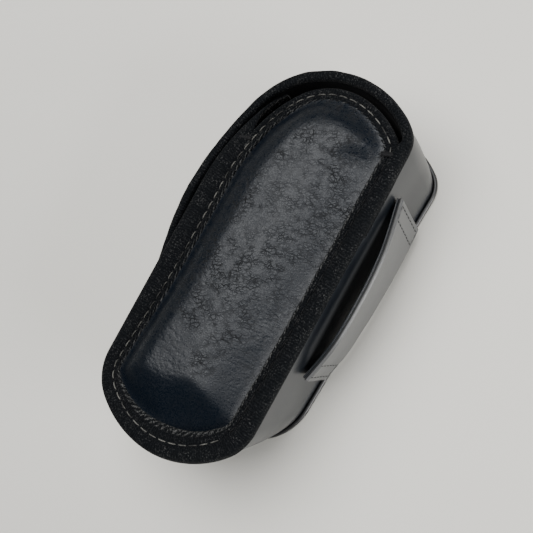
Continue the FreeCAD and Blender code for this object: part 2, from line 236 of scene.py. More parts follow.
def grid_object(name, points, wrap_rows=False, wrap_columns=False, along=None, across=None):
    """Mesh of a grid of points. along and across are the run lengths for its UV map."""
    rows, columns = points.shape[:2]
    faces, corner_row, corner_column = grid_faces(rows, columns, wrap_rows, wrap_columns)
    if along is None:
        along = run_length(points[0], wrap_columns)
    if across is None:
        across = run_length(points[:, 0], wrap_rows)
    uv = np.stack([along[corner_column], across[corner_row]], axis=2)
    return make_object(name, points.reshape(-1, 3), faces, uv)


def raised(flat, level):
    """Flat grid of points, raised to one level or to a grid of levels."""
    levels = np.broadcast_to(level, flat.shape[:2])
    return np.concatenate([flat, levels[:, :, None]], axis=2)


def closed_sheet(name, top, under):
    """Mesh of two grids of points, one above the other and joined round their border."""
    rows, columns = top.shape[:2]
    top_faces, _, _ = grid_faces(rows, columns, False, False)
    number = np.arange(rows * columns).reshape(rows, columns)
    rim = np.concatenate([number[0], number[1:, -1], number[-1, -2::-1], number[-2:0:-1, 0]])
    following = np.roll(rim, -1)
    shift = rows * columns
    sides = np.stack([rim + shift, following + shift, following, rim], axis=1)
    faces = np.concatenate([top_faces, top_faces[:, ::-1] + shift, sides])
    vertices = np.concatenate([top.reshape(-1, 3), under.reshape(-1, 3)])
    return make_object(name, vertices, faces, vertices[faces][:, :, :2])


def sweep(name, line, normals, offsets, levels, closed, begin=0.0):
    """Sweeps a closed profile along a flat line: offsets and levels have a row for each profile
    point and a column for each point of the line, or one column for all. begin is where the UV
    map's measure across the run starts."""
    count = len(line)
    offsets = np.broadcast_to(offsets, (len(offsets), count))
    levels = np.broadcast_to(levels, (len(levels), count))
    flat = line[None] + normals[None] * offsets[:, :, None]
    points = np.concatenate([flat, levels[:, :, None]], axis=2)
    across = run_length(points[::-1, count // 2], True)
    return grid_object(name, points[::-1], True, closed, along=run_length(line, closed),
                       across=begin + across[len(points) - 1] - across)


def close_ends(thing, rows):
    """Closes the two open ends of a swept profile with one face each."""
    mesh = thing.data
    columns = len(mesh.vertices) // rows
    vertices = [vertex.co[:] for vertex in mesh.vertices]
    faces = [tuple(face.vertices) for face in mesh.polygons]
    uv = [tuple(entry.uv) for entry in mesh.uv_layers[0].data]
    first = [row * columns for row in range(rows)]
    last = [row * columns + columns - 1 for row in range(rows)]
    faces += [tuple(first), tuple(reversed(last))]
    uv += [(0.0, 0.0)] * (2 * rows)
    fresh = bpy.data.meshes.new(mesh.name)
    fresh.from_pydata(vertices, [], faces)
    layer = fresh.uv_layers.new(name="run")
    layer.data.foreach_set("uv", np.array(uv, dtype=np.float32).ravel())
    fresh.polygons.foreach_set("use_smooth", [True] * len(fresh.polygons))
    thing.data = fresh
    return thing


def tube(points, radii, sides=8):
    """Vertices and faces of a closed tube along points, with a radius at each."""
    points = np.asarray(points, dtype=float)
    along = np.gradient(points, axis=0)
    along /= np.linalg.norm(along, axis=1)[:, None]
    side = np.cross(along, (0.0, 0.0, 1.0))
    length = np.linalg.norm(side, axis=1)
    side[length < 1e-6] = (1.0, 0.0, 0.0)
    side /= np.linalg.norm(side, axis=1)[:, None]
    over = np.cross(side, along)
    turn = np.linspace(0.0, 2 * math.pi, sides, endpoint=False)
    ring = side[:, None] * np.cos(turn)[None, :, None] + over[:, None] * np.sin(turn)[None, :, None]
    vertices = points[:, None] + ring * np.asarray(radii)[:, None, None]
    faces, _, _ = grid_faces(len(points), sides, False, True)
    caps = [list(range(sides))[::-1], [(len(points) - 1) * sides + s for s in range(sides)]]
    return vertices.reshape(-1, 3), faces.tolist() + caps


def joined_tubes(name, tubes):
    vertices = []
    faces = []
    for some_vertices, some_faces in tubes:
        base = len(vertices)
        vertices.extend(some_vertices.tolist())
        faces.extend([[base + corner for corner in face] for face in some_faces])
    return make_object(name, vertices, faces)


def bend_with_front(thing):
    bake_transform(thing)


# ---- materials ----

class Paint:
    """A node material being made: a Principled shader and the nodes that feed it."""

    def __init__(self, name, **uniform):
        self.material = bpy.data.materials.new(name)
        self.material.use_nodes = True
        self.tree = self.material.node_tree
        self.tree.nodes.clear()
        self.shader = self.tree.nodes.new("ShaderNodeBsdfPrincipled")
        output = self.tree.nodes.new("ShaderNodeOutputMaterial")
        self.tree.links.new(self.shader.outputs["BSDF"], output.inputs["Surface"])
        for key, value in uniform.items():
            self.shader.inputs[key.replace("_", " ")].default_value = value

    def node(self, kind, settings=None, **inputs):
        made = self.tree.nodes.new("ShaderNode" + kind)
        for key, value in (settings or {}).items():
            setattr(made, key, value)
        for key, value in inputs.items():
            self.feed(made, key.replace("_", " "), value)
        return made

    def feed(self, node, key, value):
        socket = node.inputs[int(key[1:])] if key[0] == "n" and key[1:].isdigit() else node.inputs[key]
        if isinstance(value, bpy.types.NodeSocket):
            self.tree.links.new(value, socket)
        else:
            socket.default_value = value

    def place(self, scale):
        """Object coordinates in millimetres, times a scale on each axis."""
        source = self.node("TexCoord")
        mapping = self.node("Mapping", Vector=source.outputs["Object"])
        mapping.inputs["Scale"].default_value = [1000.0 * part for part in scale]
        return mapping.outputs["Vector"]

    def run(self, scale):
        """The swept run of the surface in millimetres, times a scale along and across."""
        source = self.node("TexCoord")
        mapping = self.node("Mapping", Vector=source.outputs["UV"])
        mapping.inputs["Scale"].default_value = (scale[0], scale[1], 1.0)
        return mapping.outputs["Vector"]

    def clouds(self, where, scale=1.0, detail=3.0, distortion=0.0):
        made = self.node("TexNoise", Vector=where, Scale=scale, Detail=detail)
        made.inputs["Distortion"].default_value = distortion
        return made.outputs["Fac"]

    def cells(self, where, feature, scale=1.0):
        return self.node("TexVoronoi", {"feature": feature}, Vector=where,
                         Scale=scale).outputs["Distance"]

    def warped(self, where, scale, amount):
        """Coordinates pushed about by noise."""
        push = self.node("TexNoise", Vector=where, Scale=scale, Detail=2.0).outputs["Color"]
        shifted = self.node("VectorMath", {"operation": "SUBTRACT"}, n0=push, n1=(0.5, 0.5, 0.5))
        scaled = self.node("VectorMath", {"operation": "SCALE"}, n0=shifted.outputs[0])
        scaled.inputs["Scale"].default_value = amount
        return self.node("VectorMath", {"operation": "ADD"}, n0=where,
                         n1=scaled.outputs[0]).outputs[0]

    def drawn_out(self, where, turn, stretch):
        """Warped coordinates, turned by an angle in degrees and stretched."""
        turned = self.node("Mapping", Vector=where)
        turned.inputs["Rotation"].default_value = (0.0, 0.0, math.radians(turn))
        drawn = self.node("Mapping", Vector=self.warped(turned.outputs["Vector"], 0.35, 2.2))
        drawn.inputs["Scale"].default_value = (stretch[0], stretch[1], 1.0)
        return drawn.outputs["Vector"]

    def wrinkle_net(self, where, turn, stretch, width):
        """A broken net of long cells, 1 on a line and 0 off it."""
        gap = self.cells(self.drawn_out(where, turn, stretch), "DISTANCE_TO_EDGE", 1.0)
        lines = self.curve(gap, 0.4 * width, width, 1.0, 0.0)
        return self.math("MULTIPLY", lines, self.curve(self.clouds(where, 0.35, 2.0), 0.32, 0.56))

    def curve(self, value, low, high, out_low=0.0, out_high=1.0):
        made = self.node("MapRange", Value=value)
        for key, number in (("From Min", low), ("From Max", high), ("To Min", out_low),
                            ("To Max", out_high)):
            made.inputs[key].default_value = number
        return made.outputs["Result"]

    def math(self, operation, first, second):
        return self.node("Math", {"operation": operation}, n0=first, n1=second).outputs[0]

    def blend(self, share, first, second):
        made = self.node("Mix", {"data_type": "RGBA"}, n0=share, n6=first, n7=second)
        return made.outputs[2]

    def bumps(self, *layers):
        """Stacks bump layers: (height, strength, distance in millimetres)."""
        normal = None
        for height, strength, distance in layers:
            made = self.node("Bump", Height=height, Strength=strength, Distance=distance * MM)
            if normal is not None:
                self.tree.links.new(normal, made.inputs["Normal"])
            normal = made.outputs["Normal"]
        self.tree.links.new(normal, self.shader.inputs["Normal"])

    def colour(self, value):
        self.tree.links.new(value, self.shader.inputs["Base Color"])

    def rough(self, value):
        self.tree.links.new(value, self.shader.inputs["Roughness"])


def front_leather():
    """Black leather with a blue cast and a fine grain, wrinkled mostly from side to side. Its wrinkle
    lines are coloured darker, as painted shade in the creases.
    """
    paint = Paint("front_leather", IOR=1.5, Specular_IOR_Level=0.33, Coat_Weight=0.06,
                  Coat_Roughness=0.30)
    where = paint.place((1.0, 1.0, 1.0))
    tone = paint.clouds(where, 0.09, 4.0)
    pebbles = paint.cells(paint.warped(where, 0.9, 0.6), "F1", 1.9)
    grain = paint.clouds(where, 2.6, 4.0, 0.4)
    parts = paint.node("SeparateXYZ", Vector=where).outputs
    below = paint.math("ADD", paint.math("MULTIPLY", parts["X"], SLOPE_DOWN[0]),
                       paint.math("MULTIPLY", parts["Y"], SLOPE_DOWN[1]))
    at_slope = float(SLOPE_POINT @ SLOPE_DOWN)
    above_slope = paint.curve(below, at_slope - 3.0, at_slope + 2.0, 1.0, 0.2)
    # Where the creases show: less on the bottom slope, and in patches. It sets how strong the painted
    # crease shade is, and also the crease bumps and roughness.
    painted_shade = paint.math("MULTIPLY", above_slope,
                      paint.curve(paint.clouds(where, 0.06, 2.0, 0.5), 0.36, 0.60, 0.25, 1.0))
    wide_net = paint.wrinkle_net(where, -20.0, (0.34, 0.80), 0.085)
    close_net = paint.wrinkle_net(where, -35.0, (0.62, 1.10), 0.070)
    found = paint.math("MAXIMUM", wide_net, paint.math("MULTIPLY", close_net, 0.8))
    lines = paint.math("SUBTRACT", 1.0, paint.math("MULTIPLY", painted_shade, found))
    base = paint.blend(tone, (0.0010, 0.0030, 0.0066, 1.0), (0.0024, 0.0050, 0.0090, 1.0))
    # Painted shade: the crease lines are coloured darker than the leather around them.
    paint.colour(paint.blend(lines, (0.0004, 0.0008, 0.0015, 1.0), base))
    rough = paint.curve(grain, 0.42, 0.58, 0.48, 0.25)
    paint.rough(paint.math("MAXIMUM", rough, paint.curve(lines, 0.0, 1.0, 1.0, 0.22)))
    paint.bumps((lines, 0.60, 0.10), (pebbles, 0.30, 0.07), (grain, 0.25, 0.035))
    return paint.material


def smooth_leather(name, dark, light, rough):
    """Smoother leather for the wall, the back and the belt loop. On the side wall's lower part behind
    the belt loop it is painted darker, as painted shade from the loop, and made rougher."""
    paint = Paint(name, IOR=1.6, Specular_IOR_Level=0.6, Coat_Weight=0.20, Coat_Roughness=0.3)
    where = paint.place((1.0, 1.0, 1.0))
    tone = paint.clouds(where, 0.12, 4.0)
    pores = paint.cells(paint.warped(where, 1.2, 0.3), "F1", 2.6)
    fine = paint.clouds(where, 7.0, 2.0)
    parts = paint.node("SeparateXYZ", Vector=where).outputs
    # Painted shade behind the belt loop: the side wall's lower middle part is marked out by its
    # position.
    beside = paint.math("MULTIPLY", paint.curve(parts["X"], 24.0, 26.0),
                        paint.curve(parts["X"], 28.4, 28.6, 1.0, 0.0))
    middle = paint.math("ABSOLUTE", paint.math("SUBTRACT", parts["Y"], 6.5), 0.0)
    loop_shade = paint.math("MULTIPLY", beside, paint.curve(middle, 20.0, 29.0, 1.0, 0.0))
    loop_shade = paint.math("MULTIPLY", loop_shade, paint.curve(parts["Z"], 21.0, 26.0, 1.0, 0.0))
    # The colour of the painted shade behind the belt loop.
    painted_shade = (0.4 * dark[0], 0.4 * dark[1], 0.4 * dark[2], 1.0)
    paint.colour(paint.blend(loop_shade, paint.blend(tone, dark, light), painted_shade))
    paint.rough(paint.math("MAXIMUM", paint.curve(tone, 0.3, 0.7, rough, rough + 0.08),
                           paint.curve(loop_shade, 0.0, 1.0, 0.0, 1.0)))
    paint.bumps((pores, 0.18, 0.05), (fine, 0.2, 0.02))
    return paint.material


def ribbed_tape(name, dark, light, fibre, lit_clump_colour, pitch=0.85):
    """Knitted black tape: uneven ribs across its run, coloured with painted light on the rib tops and
    painted shade in the hollows between them, and loose pale fibre. The first two millimetres of its
    width are coarser, in slanting clumps with painted highlight on their tops, and the stitch line is
    coloured darker as painted shade in its groove."""
    paint = Paint(name, IOR=1.45, Specular_IOR_Level=0.08, Sheen_Weight=0.03, Sheen_Roughness=0.5)
    straight_run = paint.run((1.0, 1.0))
    bent = paint.warped(straight_run, 0.8, 1.5)
    ribs = paint.node("TexWave", {"wave_type": "BANDS", "bands_direction": "X"}, Vector=bent,
                      Scale=2 * math.pi / (20.0 * pitch)).outputs["Fac"]
    across = paint.node("SeparateXYZ", Vector=straight_run).outputs["Y"]
    edge = paint.curve(across, 1.8, 2.6, 1.0, 0.0)
    bent_parts = paint.node("SeparateXYZ", Vector=bent).outputs
    slant = paint.math("ADD", bent_parts["X"], paint.math("MULTIPLY", bent_parts["Y"], 2.0))
    turns = paint.math("MULTIPLY", slant, 2 * math.pi / 2.6)
    clumps = paint.math("MULTIPLY", paint.curve(paint.math("SINE", turns, 0.0), -0.5, 0.8), edge)
    where = paint.place((1.0, 1.0, 1.0))
    fluff = paint.clouds(where, 2.4, 6.0, 0.6)
    wear = paint.curve(paint.clouds(where, 0.22, 3.0), 0.38, 0.66, 0.1, 1.0)
    # Painted light and shade: the rib tops are coloured lighter and the hollows between them darker.
    lit_rib_tops = paint.math("MULTIPLY", ribs, paint.curve(fluff, 0.36, 0.62))
    base = paint.blend(lit_rib_tops, dark, light)
    specks = paint.math("MULTIPLY", paint.curve(fluff, 0.56, 0.66), wear)
    # Painted highlight: the tops of the slanting clumps get a lighter colour.
    lit_clumps = paint.math("MULTIPLY", clumps, paint.curve(fluff, 0.42, 0.60, 0.08, 1.0))
    # Painted shade in the stitch groove: on the stitch line the pale flecks and the lit clump tops are
    # left out, so it stays darker.
    off_seam = paint.math("ABSOLUTE", paint.math("SUBTRACT", across, 2.3), 0.0)
    groove_shade = paint.curve(off_seam, 0.15, 0.5)
    flecked = paint.blend(paint.math("MULTIPLY", specks, groove_shade), base, fibre)
    paint.colour(paint.blend(paint.math("MULTIPLY", lit_clumps, groove_shade), flecked, lit_clump_colour))
    paint.rough(paint.curve(fluff, 0.3, 0.7, 0.72, 0.95))
    paint.bumps((ribs, 0.6, 0.20), (clumps, 0.8, 0.35), (fluff, 0.8, 0.28))
    return paint.material


def cloth(name, dark, light):
    """Plain woven lining."""
    paint = Paint(name, IOR=1.45, Specular_IOR_Level=0.05, Sheen_Weight=0.02, Sheen_Roughness=0.5)
    warp = paint.node("TexWave", {"wave_type": "BANDS", "bands_direction": "X"},
                      Vector=paint.place((1.0, 1.0, 1.0)), Scale=0.55).outputs["Fac"]
    weft = paint.node("TexWave", {"wave_type": "BANDS", "bands_direction": "DIAGONAL"},
                      Vector=paint.place((-1.0, 1.0, 1.0)), Scale=0.4).outputs["Fac"]
    weave = paint.math("MAXIMUM", warp, weft)
    tone = paint.clouds(paint.place((1.0, 1.0, 1.0)), 0.3, 3.0)
    paint.colour(paint.blend(tone, dark, light))
    paint.rough(paint.curve(tone, 0.3, 0.7, 0.8, 0.95))
    paint.bumps((weave, 0.4, 0.08))
    return paint.material


def twisted_thread(name, dark, light):
    """Sewing thread with its twist."""
    paint = Paint(name, IOR=1.5, Specular_IOR_Level=0.15, Sheen_Weight=0.05)
    where = paint.place((1.0, 1.0, 1.0))
    twist = paint.node("TexWave", {"wave_type": "BANDS", "bands_direction": "DIAGONAL"},
                       Vector=where, Scale=0.7).outputs["Fac"]
    wear = paint.clouds(where, 0.30, 4.0)
    mixed = paint.math("MULTIPLY", paint.curve(twist, 0.0, 1.0, 0.6, 1.0),
                       paint.curve(wear, 0.38, 0.62, 0.0, 1.0))
    paint.colour(paint.blend(mixed, dark, light))
    paint.rough(paint.curve(wear, 0.3, 0.7, 0.5, 0.75))
    paint.bumps((twist, 0.6, 0.08))
    return paint.material


def fibre_board():
    paint = Paint("board", IOR=1.45, Specular_IOR_Level=0.3)
    where = paint.place((1.0, 1.0, 1.0))
    specks = paint.clouds(where, 2.0, 5.0)
    paint.colour(paint.blend(specks, (0.09, 0.075, 0.055, 1.0), (0.17, 0.14, 0.105, 1.0)))
    paint.rough(paint.curve(specks, 0.3, 0.7, 0.75, 0.9))
    paint.bumps((specks, 0.3, 0.06))
    return paint.material


def table_top():
    """Pale matt floor with a faint cloudiness."""
    paint = Paint("floor", IOR=1.4, Specular_IOR_Level=0.2)
    where = paint.place((1.0, 1.0, 1.0))
    tone = paint.clouds(where, 0.01, 3.0)
    paint.colour(paint.blend(tone, (0.78, 0.76, 0.70, 1.0), (0.84, 0.82, 0.76, 1.0)))
    paint.rough(paint.curve(tone, 0.3, 0.7, 0.85, 0.92))
    paint.bumps((paint.clouds(where, 1.5, 2.0), 0.05, 0.05))
    return paint.material


MATERIALS = {
    "front_leather": front_leather(),
    "body_leather": smooth_leather("body_leather", (0.0015, 0.0032, 0.0060, 1.0),
                                   (0.0040, 0.0066, 0.0105, 1.0), 0.30),
    # The belt loop is the wall's leather in lighter colours, as painted light on its brightly lit face.
    "loop_leather": smooth_leather("loop_leather", (0.040, 0.042, 0.044, 1.0),
                                   (0.062, 0.064, 0.066, 1.0), 0.32),
    # Tape colours: painted shade in the rib hollows, painted light on the rib tops, pale fibre, and
    # painted highlight on the clump tops.
    "tape": ribbed_tape("tape", (0.0012, 0.0018, 0.0026, 1.0), (0.0090, 0.0100, 0.0115, 1.0),
                        (0.0560, 0.0560, 0.0540, 1.0), (0.0900, 0.0900, 0.0880, 1.0)),
    "lining_cloth": cloth("lining_cloth", (0.0016, 0.0017, 0.0020, 1.0), (0.0040, 0.0041, 0.0045, 1.0)),
    "piping": smooth_leather("piping", (0.004, 0.004, 0.005, 1.0), (0.009, 0.009, 0.010, 1.0), 0.42),
    "board": fibre_board(),
    "pale_thread": twisted_thread("pale_thread", (0.02, 0.02, 0.019, 1.0), (0.17, 0.165, 0.15, 1.0)),
    "black_thread": twisted_thread("black_thread", (0.0020, 0.0022, 0.0026, 1.0),
                                   (0.0120, 0.0120, 0.0130, 1.0)),
}


def finish_piece(thing, slot, *nodes):
    """Gives a piece its material and slot, and hides the CAD nodes that it stands for."""
    thing.data.materials.clear()
    thing.data.materials.append(MATERIALS[slot])
    if nodes:
        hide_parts(*nodes)
    return thing


# ---- the front ----

front_line, front_out, front_at = outline(FRONT)
tape_width = eased(TAPE_WIDTH, front_at)
stitch_inset = eased(STITCH_INSET, front_at)


def between(start, end, count, inset):
    """Points of the front outline, inset, from one station to a later one, evenly spaced."""
    order = np.argsort((front_at - start) % STATIONS)
    share = np.sort((front_at - start) % STATIONS)
    keep = share <= (end - start) % STATIONS
    chosen = order[keep]
    points = front_line[chosen] - front_out[chosen] * inset[chosen, None]
    length = run_length(points, False)
    at = np.linspace(0.0, length[-1], count)
    return np.stack([np.interp(at, length, points[:, axis]) for axis in range(2)], axis=1)


def patch(low, high, left, right):
    """Flat grid of points that fills four boundary lines."""
    across = np.linspace(0.0, 1.0, len(low))[None, :, None]
    up = np.linspace(0.0, 1.0, len(left))[:, None, None]
    ends = ((1 - across) * left[:, None] + across * right[:, None]
            + (1 - up) * low[None] + up * high[None])
    corners = ((1 - across) * (1 - up) * low[0] + across * (1 - up) * low[-1]
               + (1 - across) * up * high[0] + across * up * high[-1])
    return ends - corners


def front_patch(inset, columns, rows):
    low = between(5.5, 7.5, columns, inset)
    right = between(7.5, 1.5, rows, inset)
    high = between(1.5, 3.1, columns, inset)[::-1]
    left = between(3.1, 5.5, rows, inset)[::-1]
    right[0], right[-1] = low[-1], high[-1]
    left[0], left[-1] = low[0], high[0]
    return patch(low, high, left, right)


def nearest_edge(points, edge, stations):
    """Distance to the nearest edge point, and that point's station. Works in blocks, to save
    memory."""
    distance = np.empty(len(points))
    nearest = np.empty(len(points), dtype=int)
    size = 4000
    for start in range(0, len(points), size):
        block = slice(start, start + size)
        gap = np.linalg.norm(points[block][:, None] - edge[None], axis=2)
        nearest[block] = gap.argmin(axis=1)
        distance[block] = gap.min(axis=1)
    return distance, stations[nearest]


def soften(height, rounds):
    """Averages a grid of heights with their neighbours, keeping its border."""
    for _ in range(rounds):
        inner = (height[1:-1, :-2] + height[1:-1, 2:] + height[:-2, 1:-1] + height[2:, 1:-1]) / 4
        height[1:-1, 1:-1] = 0.5 * height[1:-1, 1:-1] + 0.5 * inner
    return height


def soft_least(first, second, softness):
    """The lesser of two heights, rounded where they cross."""
    gap = first - second
    return 0.5 * (first + second - np.sqrt(gap ** 2 + softness ** 2)) + 0.5 * softness


def crown_height(flat):
    """Moulded rise of the leather above its border, with dents and creases."""
    rows, columns = flat.shape[:2]
    points = flat.reshape(-1, 2)
    edge = front_line - front_out * (tape_width - 0.2)[:, None]
    distance, station = nearest_edge(points, edge, front_at)
    share = np.clip(distance / by_station(RISE_RUN, station), 0.0, 1.0)
    rise = 1.0 - (1.0 - share) ** by_station(RISE_EARLY, station)
    height = soften(CROWN * rise.reshape(rows, columns), 110).ravel()
    below = (points - SLOPE_POINT) @ SLOPE_DOWN
    ramp = CROWN * (1.0 - 0.5 * (below + np.sqrt(below ** 2 + 1.2)) / SLOPE_RUN)
    height = soft_least(height, ramp, 0.5)
    inside = smooth_step(distance / 5.0)
    solid = np.column_stack([points, np.zeros(len(points))])
    dents = 0.32 * lumps(solid, (0.06, 0.035, 1.0), 1) + 0.12 * lumps(solid, (0.16, 0.13, 1.0), 2)
    drift = 1.6 * lumps(solid, (0.10, 0.10, 1.0), 3)
    line = np.column_stack([points[:, 0] * 0.26, points[:, 1] * 1.05 + drift, np.zeros(len(points))])
    ridges = np.abs(lumps(line, (1.0, 1.0, 1.0), 4))
    patchy = smooth_step(0.5 + 1.3 * lumps(solid, (0.07, 0.07, 1.0), 5))
    creases = -0.085 * np.clip(1.0 - ridges / 0.16, 0.0, 1.0) ** 1.5 * patchy
    return (height + inside * (dents + creases)).reshape(rows, columns)


def make_front_leather():
    """The moulded front: a crowned skin, closed underneath."""
    columns, rows = 150, 330
    flat = front_patch(tape_width - 0.9, columns, rows)
    top = raised(flat, BORDER_TOP + GAP + crown_height(flat))
    return closed_sheet("front_leather", top, raised(flat, WALL_HEAD + GAP))


def make_front_tape():
    """Tape round the whole front: the strip next to the leather, the stitched channel and, at the
    mouth, the rolled free edge."""
    reach = np.array([0.0, 0.05, 0.35, 0.75, 1.05, 1.35, 1.75, 2.0])[:, None] / 2.3 * stitch_inset
    rise = np.array([0.1, 0.75, 1.12, 1.18, 0.98, 1.18, 1.12, 0.9])[:, None]
    inner = reach - tape_width
    inner_level = BORDER_TOP + rise + 0.0 * inner
    beyond = np.array([0.0, 0.35, 0.8, 1.4, 1.9, 2.2, 2.3, 2.15, 1.7, 0.9, 0.0, -1.2])[:, None]
    beyond_level = np.array([30.72, 30.95, 31.2, 31.25, 30.95, 30.4, 29.7, 29.0, 28.5, 28.25, 28.3,
                             28.6])[:, None]
    outer = beyond + (stitch_inset - tape_width)
    offsets = np.concatenate([inner, outer, inner[:1]])
    levels = np.concatenate([inner_level, beyond_level + 0.0 * outer,
                             np.full((1, len(front_at)), WALL_HEAD + GAP)])
    wave = 0.10 * lumps(np.column_stack([front_line, 0 * front_at]), (0.35, 0.35, 1.0), 8)
    levels[1:-4] += wave
    turns = (run_length(front_line, True)[:-1][None] + 2.0 * reach[1:7]) * 2 * math.pi / 2.6
    clumps = 0.17 * np.sin(turns + 12.0 * wave)
    levels[1:7] += clumps
    return sweep("front_tape", front_line, front_out, offsets, levels, True)


def side_tape_line():
    """Where the outer tape runs: from the rim's right corner round the bottom to the tip."""
    order = (TAPE_START - front_at) % STATIONS
    chosen = np.argsort(order)
    return chosen[np.sort(order) <= (TAPE_START - TIP) % STATIONS]


def make_side_tape():
    """The outer tape, sewn along the stitch line and rolled over the top of the wall."""
    chosen = side_tape_line()[::-1]
    line, at = front_line[chosen], front_at[chosen]
    edge = 0.75
    leave = smooth_step((at - 0.80) / 0.60) * (at < TIP - 0.5)
    rim_line = (wall_line(1.0) - (edge - 0.35) * flat_normals(wall_line(1.0), True))[chosen]
    line = line + leave[:, None] * (rim_line - line)
    out = flat_normals(line, False)
    start = (stitch_inset - tape_width)[chosen] + 0.3
    taper = smooth_step((at - TIP) / (MOUTH_LEFT + 0.12 - TIP))
    taper[(at < TIP) | (at > MOUTH_LEFT + 0.12)] = 1.0
    narrow = smooth_step((at - 1.05) / 0.55) * (at < TIP - 0.5)
    taper = taper * (1.0 - 0.85 * narrow)
    start = edge - 0.5 - (edge - 0.5 - start) * taper
    share = np.array([0.0, 0.08, 0.22, 0.45, 0.7, 0.88, 1.0])[:, None]
    offsets = start + share * (edge - 0.45 - start)
    levels = np.array([30.75, 31.15, 31.4, 31.45, 31.4, 31.2, 30.85])[:, None] + 0.0 * offsets
    roll = np.array([0.2, 0.42, 0.45, 0.2, -0.3, -1.0, -1.6])[:, None] + (edge - 0.45)
    roll_level = np.array([30.4, 29.8, 29.1, 28.35, 27.9, 27.8, 28.3])[:, None]
    offsets = np.concatenate([offsets, roll + 0.0 * start[None]])
    levels = np.concatenate([levels, roll_level + 0.0 * start[None]])
    offsets[-2:] = np.maximum(offsets[-2:], start)
    wave = 0.14 * lumps(np.column_stack([line, 0 * at]), (0.3, 0.3, 1.0), 9)
    levels[1:6] += wave
    thing = sweep("side_tape", line, out, offsets, levels, False, begin=1.7)
    return close_ends(thing, len(offsets))


# ---- stitches ----

def stitches(name, points, pitch, length, radius, sink):
    """Separate stitches along a line of points, each dipping in at both ends."""
    run = run_length(points, False)
    tubes = []
    for number in range(int((run[-1] - length) / pitch) + 1):
        share = np.linspace(0.0, 1.0, 9)
        at = number * pitch + share * length
        line = np.stack([np.interp(at, run, points[:, axis]) for axis in range(3)], axis=1)
        arch = np.sin(math.pi * share) ** 0.45
        line[:, 2] += sink * (arch - 1.0)
        tubes.append(tube(line, radius * (0.55 + 0.45 * arch)))
    return joined_tubes(name, tubes)


def stitch_path(start, end, level):
    """Points on the stitch line from one station to a later one."""
    order = np.argsort((front_at - start) % STATIONS)
    share = np.sort((front_at - start) % STATIONS)
    chosen = order[share <= (end - start) % STATIONS]
    flat = front_line[chosen] + (front_out * (stitch_inset - tape_width)[:, None])[chosen]
    return np.column_stack([flat, np.full(len(flat), level)])


def bar_tack(name, end):
    """A dense zigzag of thread across the tape at one end of the mouth."""
    middle = BEND_POINT[:2] + end * 23.3 * BEND_ALONG[:2] - 1.8 * BEND_ACROSS[:2]
    turns = 30
    share = np.linspace(-1.0, 1.0, turns * 4 + 1)
    swing = np.sin(np.linspace(0.0, turns * math.pi, len(share)) + 0.7)
    flat = (middle[None] + 2.3 * share[:, None] * BEND_ALONG[None, :2]
            + 0.75 * swing[:, None] * BEND_ACROSS[None, :2])
    level = 31.2 + 0.2 * np.cos(swing * math.pi / 2) - 0.2 * share ** 4
    return joined_tubes(name, [tube(np.column_stack([flat, level]), np.full(len(share), 0.13), 6)])


# ---- the wall ----

back_line, back_out, wall_at = outline(BACK)
head_line, _, _ = outline(WALL)
back_line[:, 0] += (0.3 + 0.034 * back_line[:, 1]) * smooth_step(back_line[:, 0] / 24.0)


# The wall's lean on the left is part of a cone: its radius at the foot and how much that grows,
# its axis, and where the lean fades out.
CONE_FOOT = 90.9
CONE_GROWTH = 5.3
CONE_X = 64.5
CONE_Y = 8.0
CONE_END = 47.5


def wall_line(rise):
    """Outer face of the wall at a share of its height, with its lean beside the mouth."""
    points = (1 - rise) * back_line + rise * head_line
    reach = CONE_FOOT + CONE_GROWTH * rise
    along = points[:, 1] - CONE_Y
    lean = CONE_X - np.sqrt(np.maximum(reach ** 2 - along ** 2, 0.0))
    extra = np.where(points[:, 0] < 0.0, points[:, 0] - lean, -9.0)
    extra = 0.5 * (extra + np.sqrt(extra ** 2 + 0.15)) * smooth_step((CONE_END - points[:, 1]) / 5.0)
    points = points.copy()
    points[:, 0] -= extra
    return points


def wall_rows(inset, rows, swell):
    made = []
    for rise in np.linspace(0.0, 1.0, rows):
        points = wall_line(rise)
        normals = flat_normals(points, True)
        level = BACK_TOP + rise * (WALL_HEAD - BACK_TOP)
        solid = np.column_stack([points, np.full(len(points), level)])
        fuller = 1.0 + 1.6 * smooth_step((points[:, 0] - 15.0) / 10.0)
        puff = swell * fuller * math.sin(math.pi * rise) ** 0.7
        sag = puff + swell * 0.7 * lumps(solid, (0.07, 0.07, 0.10), 12) * math.sin(math.pi * rise)
        flat = points + normals * (sag - inset)[:, None]
        made.append(np.column_stack([flat, np.full(len(points), level)]))
    return np.stack(made)


def make_wall():
    outside = wall_rows(0.0, 30, 0.35)
    inside = wall_rows(1.4, 10, 0.0)
    return grid_object("gusset_leather", np.concatenate([outside, inside[::-1]]), True, True)


def make_wall_lining():
    outside = wall_rows(1.45, 12, 0.0)
    inside = wall_rows(2.2, 12, -0.15)
    return grid_object("gusset_cloth", np.concatenate([outside, inside[::-1]]), True, True)


